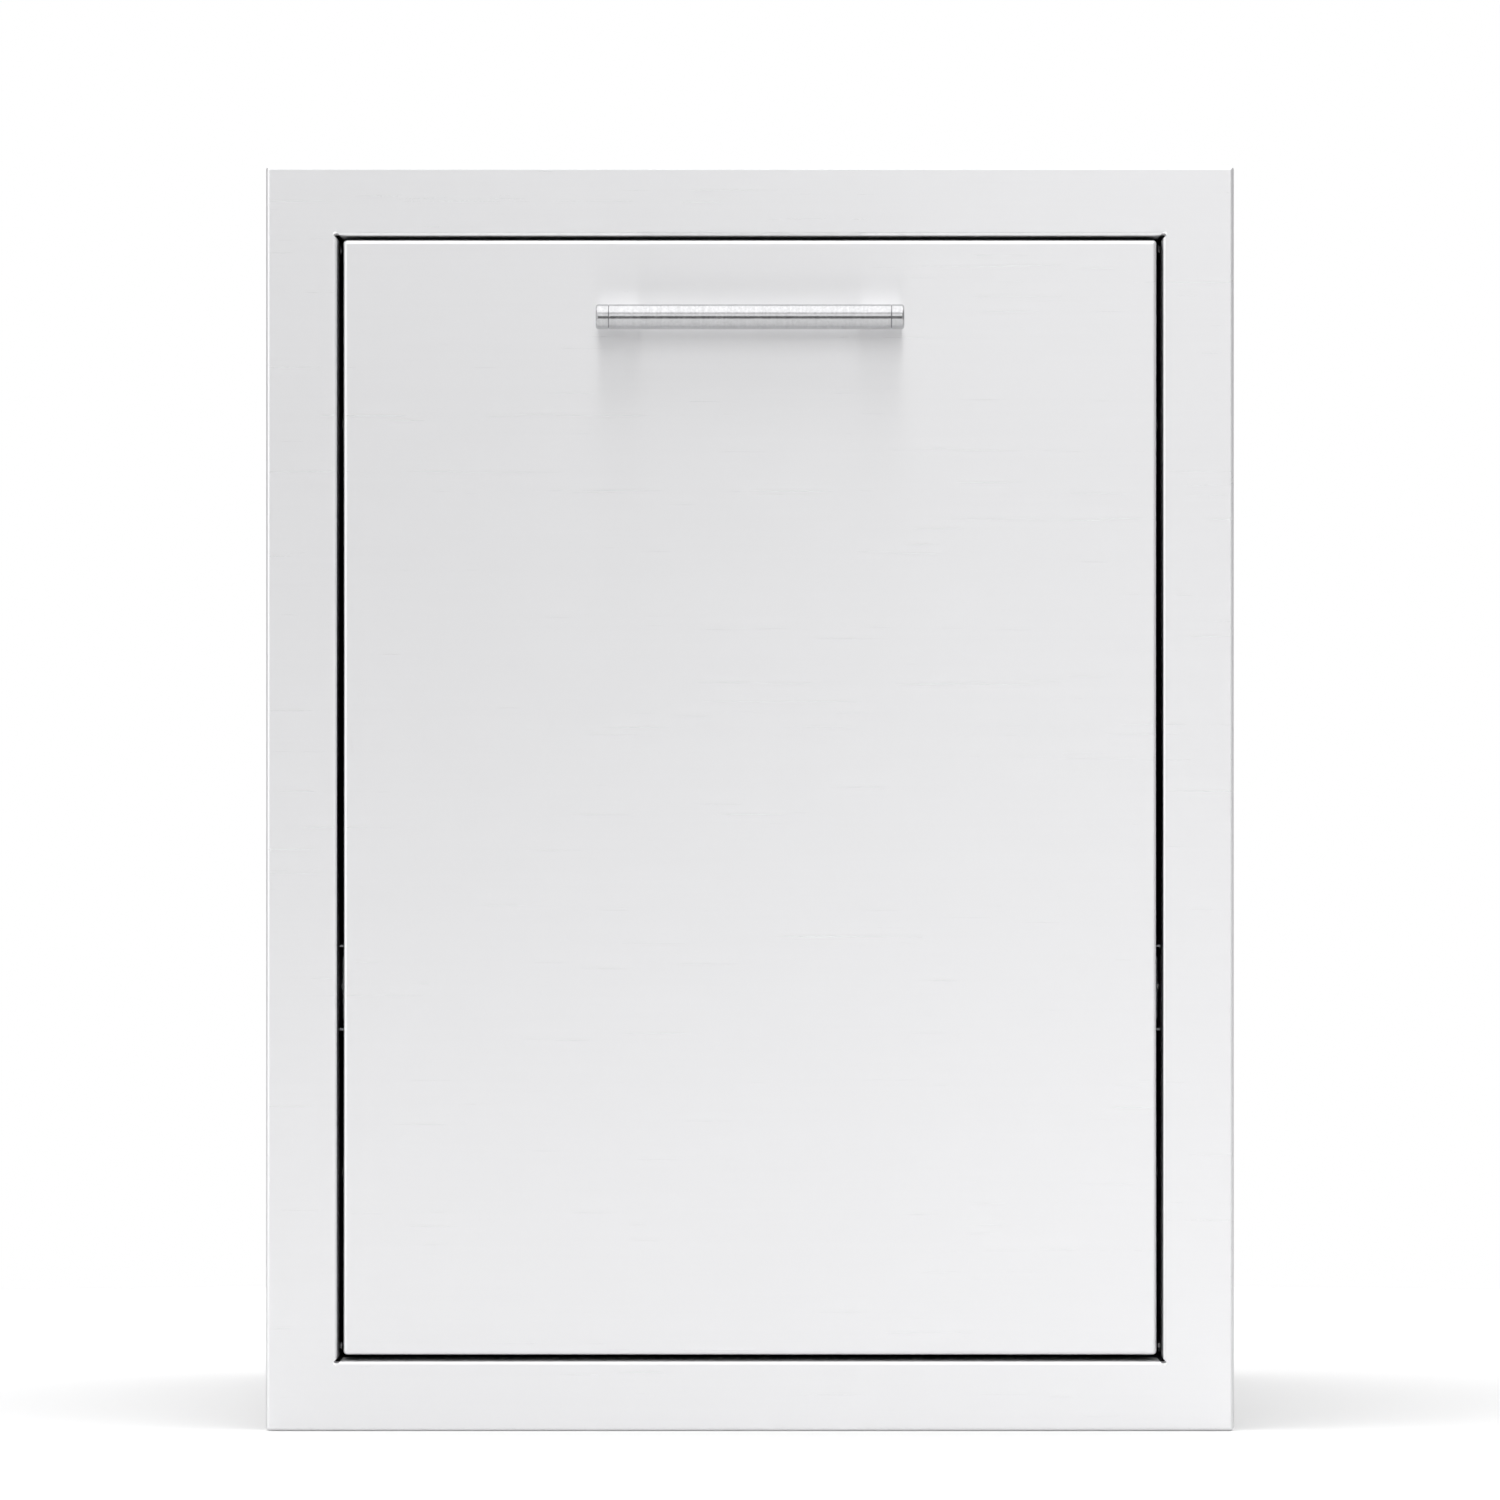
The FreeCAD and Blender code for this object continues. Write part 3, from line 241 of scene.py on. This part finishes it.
def lay_floor():
    """A pale floor round the island's face, white where no shadow falls."""
    height = cad_box[0].z
    turns = [2 * math.pi * index / FLOOR_SIDES for index in range(FLOOR_SIDES)]
    corners = [(FLOOR_RADIUS * math.cos(turn), FLOOR_RADIUS * math.sin(turn), height) for turn in turns]
    material, tree, surface = bare_material("floor_paint")
    paint = add(tree, "ShaderNodeBsdfDiffuse", {"Color": grey(FLOOR_TONE)})
    tree.links.new(paint.outputs[0], surface)
    floor = add_mesh("floor", corners, [range(FLOOR_SIDES)], material)


def new_material(name, metallic):
    """A material with its tree, its shader and the object's own coordinates."""
    material = bpy.data.materials.new(name)
    material.use_nodes = True
    tree = material.node_tree
    shader = tree.nodes["Principled BSDF"]
    shader.inputs["Metallic"].default_value = metallic
    place = add(tree, "ShaderNodeTexCoord").outputs["Object"]
    return material, tree, shader, place


def stretched(axis, along, across):
    """A noise scale with one value along an axis and another across it."""
    return tuple(along if name == axis else across for name in "XYZ")


def even(scale):
    return (scale, scale, scale)


def scaled(tone, by):
    return tuple(part * by for part in tone)


def noise(tree, place, scale, detail):
    """Noise with a scale for each axis, in waves per metre."""
    mapping = add(tree, "ShaderNodeMapping", {"Vector": place, "Scale": scale})
    texture = add(tree, "ShaderNodeTexNoise", {"Vector": mapping.outputs[0], "Scale": 1.0, "Detail": detail})
    return texture.outputs["Fac"]


def spread(tree, marks, low, high):
    """Noise spread over a range."""
    inputs = {"Value": marks, "From Min": NOISE_LOW, "From Max": NOISE_HIGH, "To Min": low, "To Max": high}
    return add(tree, "ShaderNodeMapRange", inputs).outputs["Result"]


def set_colour(tree, shader, marks, first, second):
    """Colour that goes from a first tone to a second one as the marks rise."""
    inputs = {MIX_SHARE: spread(tree, marks, low=0.0, high=1.0),
              MIX_FIRST_COLOUR: (*first, 1.0), MIX_SECOND_COLOUR: (*second, 1.0)}
    mixed = add(tree, "ShaderNodeMix", inputs, data_type="RGBA")
    tree.links.new(mixed.outputs[MIXED_COLOUR], shader.inputs["Base Color"])


def set_roughness(tree, shader, marks, low, high):
    tree.links.new(spread(tree, marks, low, high), shader.inputs["Roughness"])


def set_bump(tree, shader, marks, depth):
    bump = add(tree, "ShaderNodeBump", {"Height": marks, "Distance": depth})
    tree.links.new(bump.outputs[0], shader.inputs["Normal"])


def set_smear(tree, shader, axis, anisotropy, turn):
    """Reflections smeared round an axis, or along it at a quarter turn."""
    tangent = add(tree, "ShaderNodeTangent", direction_type="RADIAL", axis=axis)
    tree.links.new(tangent.outputs[0], shader.inputs["Tangent"])
    shader.inputs["Anisotropic"].default_value = anisotropy
    shader.inputs["Anisotropic Rotation"].default_value = turn


def brushed_steel(name, tone, roughness, grain):
    """Steel with fine scratches along one axis, whose reflections smear across them."""
    material, tree, shader, place = new_material(name, metallic=1.0)
    fine = noise(tree, place, stretched(grain, along=14, across=2400), detail=3.0)
    coarse = noise(tree, place, stretched(grain, along=3, across=420), detail=2.0)
    clouds = noise(tree, place, even(5), detail=1.0)
    scratches = mix(tree, fine, coarse, share=0.4)
    set_colour(tree, shader, mix(tree, scratches, clouds, share=0.3), scaled(tone, by=0.985), tone)
    set_roughness(tree, shader, scratches, low=roughness - 0.007, high=roughness + 0.007)
    set_smear(tree, shader, grain, anisotropy=1.0, turn=0.0)
    set_bump(tree, shader, fine, depth=1.5e-6)
    return material


def rolled_steel(name, tone, roughness, grain):
    """Sheet with a dull mill finish: faint lines from the rolls, and cloudy patches from handling."""
    material, tree, shader, place = new_material(name, metallic=1.0)
    lines = noise(tree, place, stretched(grain, along=4, across=700), detail=3.0)
    clouds = noise(tree, place, even(7), detail=4.0)
    smudges = noise(tree, place, even(28), detail=5.0)
    patches = mix(tree, clouds, smudges, share=0.4)
    set_colour(tree, shader, mix(tree, lines, patches, share=0.5), scaled(tone, by=0.90), tone)
    set_roughness(tree, shader, patches, low=roughness - 0.03, high=roughness + 0.05)
    set_bump(tree, shader, lines, depth=3e-6)
    return material


def turned_steel(name, tone, axis):
    """Satin bar stock, ground round its axis: sharp up and down, smeared along the bar, and speckled."""
    material, tree, shader, place = new_material(name, metallic=1.0)
    speckle = noise(tree, place, even(650), detail=3.0)
    rings = noise(tree, place, stretched(axis, along=900, across=30), detail=2.0)
    marks = mix(tree, speckle, rings, share=0.4)
    set_colour(tree, shader, marks, scaled(tone, by=0.80), tone)
    set_roughness(tree, shader, marks, low=0.18, high=0.26)
    set_smear(tree, shader, axis, anisotropy=0.8, turn=0.25)
    set_bump(tree, shader, speckle, depth=1e-5)
    return material


def zinc_plate(name, dull, pale, grain):
    """Bright zinc on rolled strip: faint lines along the rail and soft cloudy patches."""
    material, tree, shader, place = new_material(name, metallic=1.0)
    lines = noise(tree, place, stretched(grain, along=6, across=900), detail=3.0)
    clouds = noise(tree, place, even(60), detail=3.0)
    set_colour(tree, shader, mix(tree, lines, clouds, share=0.5), dull, pale)
    set_roughness(tree, shader, clouds, low=0.26, high=0.34)
    set_bump(tree, shader, lines, depth=1e-5)
    return material


def bright_steel(name, tone, roughness):
    """Small plain steel pieces, with fine handling marks."""
    material, tree, shader, place = new_material(name, metallic=1.0)
    marks = noise(tree, place, even(700), detail=4.0)
    set_colour(tree, shader, marks, scaled(tone, by=0.88), tone)
    set_roughness(tree, shader, marks, low=0.75 * roughness, high=1.25 * roughness)
    return material


def moulded_plastic(name, tone, roughness, grain_depth):
    """Moulded plastic: a fine pebbled grain, and soft paler scuffs."""
    material, tree, shader, place = new_material(name, metallic=0.0)
    pebbles = noise(tree, place, even(1600), detail=2.0)
    scuffs = noise(tree, place, stretched("Z", along=40, across=9), detail=6.0)
    wear = mix(tree, pebbles, scuffs, share=0.5)
    set_colour(tree, shader, scuffs, tone, scaled(tone, by=1.35))
    set_roughness(tree, shader, wear, low=roughness - 0.06, high=roughness + 0.08)
    set_bump(tree, shader, pebbles, grain_depth)
    return material


def make_materials():
    """Every finish, by the name that the tables above use."""
    return {
        "front": brushed_steel("front_stainless", STAINLESS, roughness=0.28, grain="X"),
        "panel": rolled_steel("panel_stainless", MILL_STAINLESS, roughness=0.36, grain="Y"),
        "bar": turned_steel("bar_stainless", BAR_STAINLESS, axis="X"),
        "post": bright_steel("post_stainless", STAINLESS, roughness=0.42),
        "zinc": zinc_plate("slide_zinc", DULL_ZINC, PALE_ZINC, grain="Y"),
        "ball": bright_steel("ball_steel", BALL_STEEL, roughness=0.12),
        "fastener": bright_steel("fastener_steel", FASTENER_STEEL, roughness=0.30),
        "rubber": moulded_plastic("stop_rubber", RUBBER, roughness=0.70, grain_depth=2e-5),
        "bin": moulded_plastic("bin_polymer", POLYMER, roughness=0.50, grain_depth=3e-5),
    }


def dress_nodes(materials):
    """Gives every node its finish."""
    slots = {part["node"]: part["material_slot"] for part in frame["record"]["subparts"]}
    for name, node in frame["nodes"].items():
        finish = NODE_FINISH.get(name, SLOT_FINISH[slots[name]])
        for slot in node.material_slots:
            slot.material = materials[finish]


bpy.context.scene.view_settings.view_transform = "Standard"
place_camera()
light_studio()
lay_floor()
dress_nodes(make_materials())
